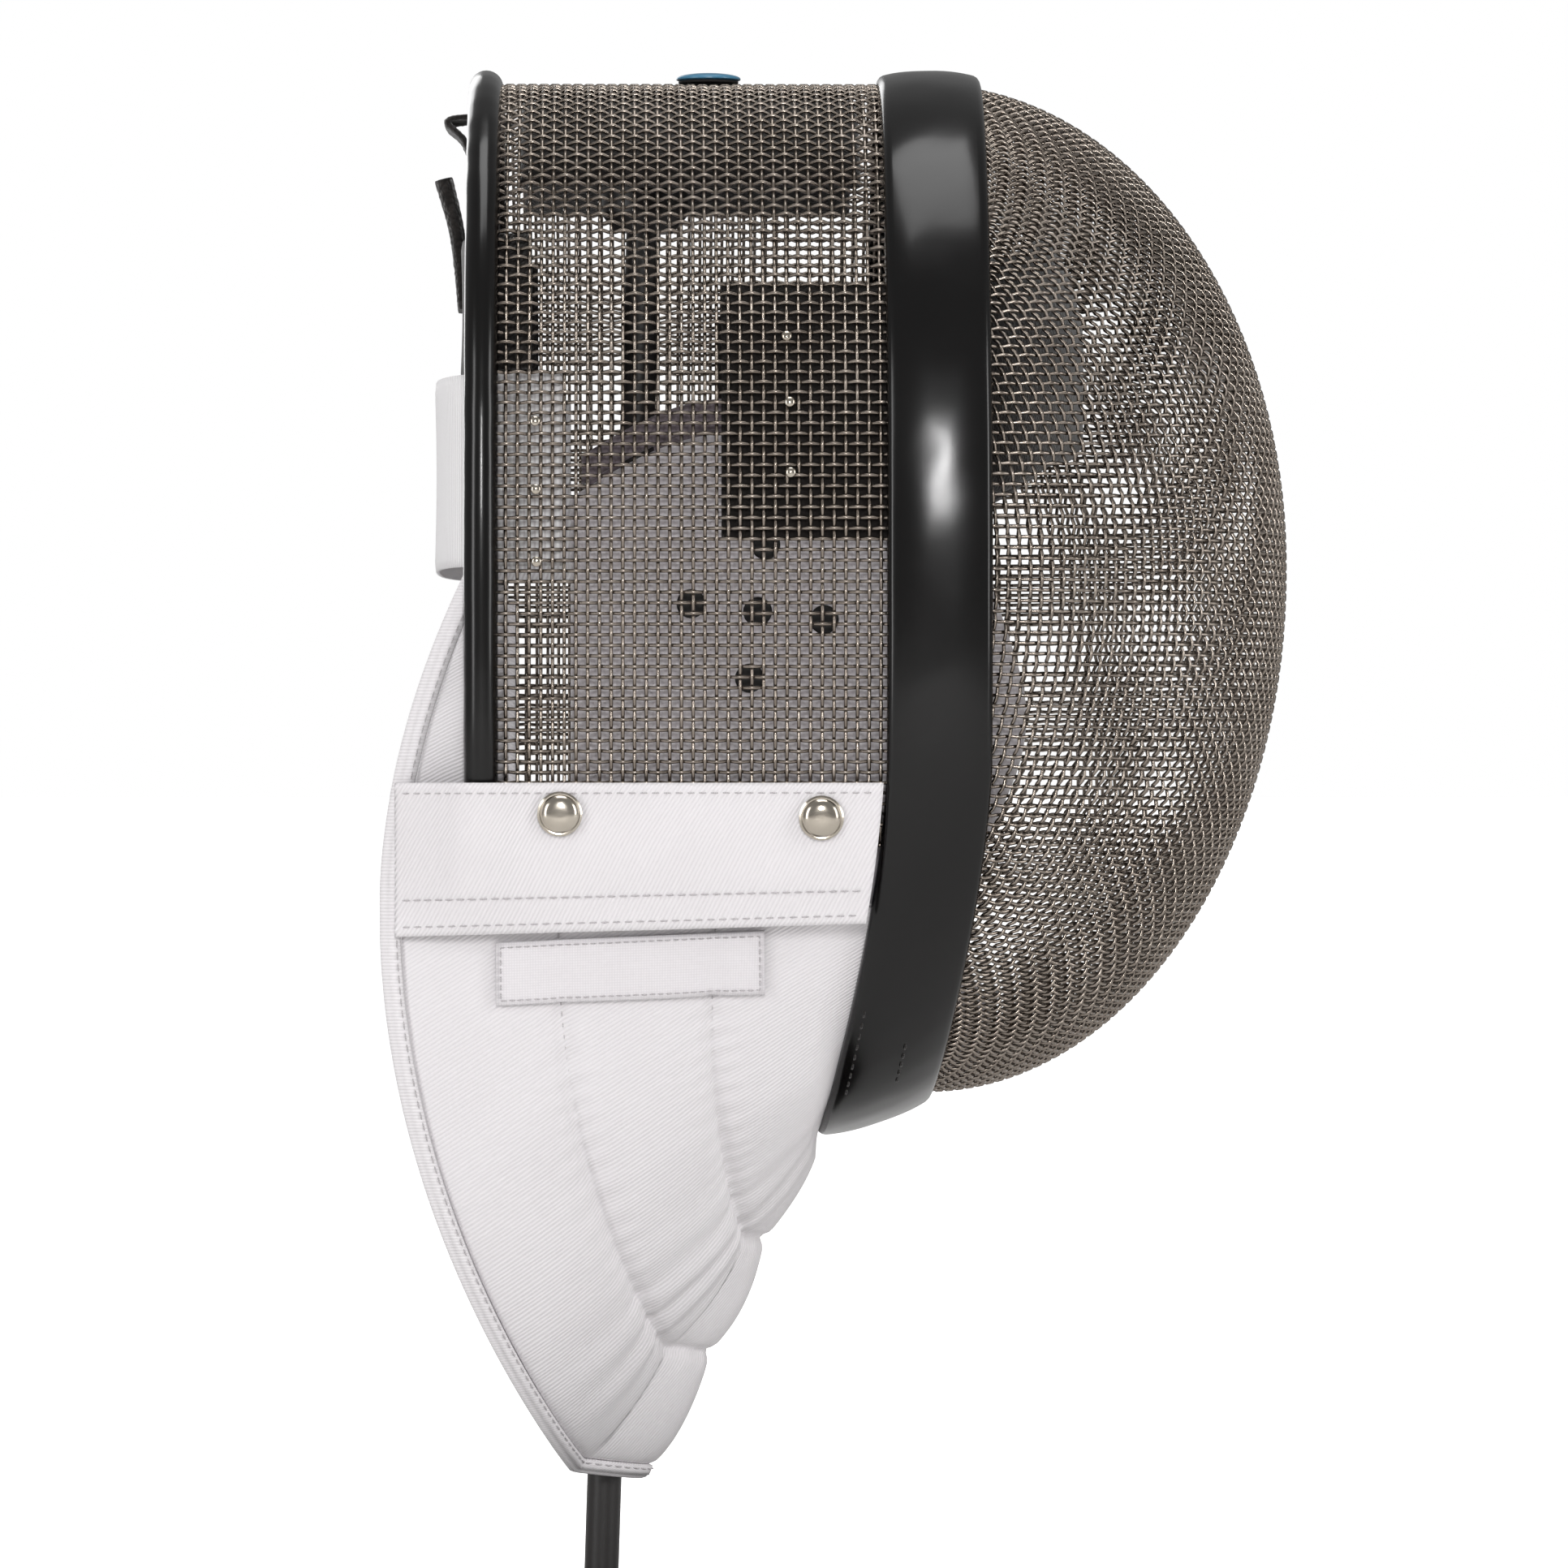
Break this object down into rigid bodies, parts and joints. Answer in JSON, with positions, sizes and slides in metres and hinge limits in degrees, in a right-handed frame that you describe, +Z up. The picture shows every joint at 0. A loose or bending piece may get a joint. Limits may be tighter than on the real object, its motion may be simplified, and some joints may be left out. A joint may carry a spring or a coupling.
{
  "type": "fencing mask on a stand",
  "caption": "Fencing mask with a woven wire face, padded black trim and a quilted white throat bib, hung on a plain round-based stand.",
  "frame": {"origin": "centre of the stand's round base, on its underside", "axes": "+X the way the mask faces, +Y towards the wearer's left, +Z up"},
  "size_m": [0.2755, 0.2128, 0.4396],
  "materials": {
    "wire": "woven stainless wire cloth, 1 mm wires, satin",
    "trim": "black padded vinyl, glossy",
    "cotton": "white cotton twill, matt",
    "liner": "pale grey brushed cotton over foam, matt",
    "dark_cloth": "black webbing and looped cloth, matt",
    "grey_cloth": "grey looped tape, matt",
    "elastic": "white ribbed elastic, matt",
    "nickel": "nickel plated, polished",
    "satin": "white satin ribbon, satin",
    "blue_plastic": "blue moulded plastic, glossy",
    "stand_paint": "dark satin paint on steel"
  },
  "bodies": {
    "root": {"face_mesh": "wire", "side_mesh": "wire", "trim_band": "trim", "rear_rim": "trim", "crown_pad": "dark_cloth", "brow_pad": "dark_cloth", "chin_pad": "liner", "bib_body": "cotton", "bib_binding": "cotton", "name_patch": "satin", "elastic_strap": "elastic", "upper_strap": "dark_cloth", "crown_tape": "dark_cloth", "hook_tab": "dark_cloth", "crown_washer": "dark_cloth", "crown_button": "blue_plastic", "stand_base": "stand_paint", "stand_pole": "stand_paint", "stand_cap": "stand_paint", "cheek_pad_right": "liner", "cheek_pad_left": "liner", "pad_tape_right": "grey_cloth", "pad_tape_left": "grey_cloth", "bib_wing_right": "cotton", "bib_wing_left": "cotton", "bib_flap_right": "cotton", "bib_flap_left": "cotton", "snap_cap_rear_right": "nickel", "snap_cap_front_right": "nickel", "snap_cap_rear_left": "nickel", "snap_cap_front_left": "nickel", "strap_rivet_right_1": "nickel", "strap_rivet_right_2": "nickel", "strap_rivet_right_3": "nickel", "strap_rivet_left_1": "nickel", "strap_rivet_left_2": "nickel", "strap_rivet_left_3": "nickel", "pad_rivet_right_1": "nickel", "pad_rivet_right_2": "nickel", "pad_rivet_right_3": "nickel", "pad_rivet_left_1": "nickel", "pad_rivet_left_2": "nickel", "pad_rivet_left_3": "nickel"}
  },
  "joints": []
}
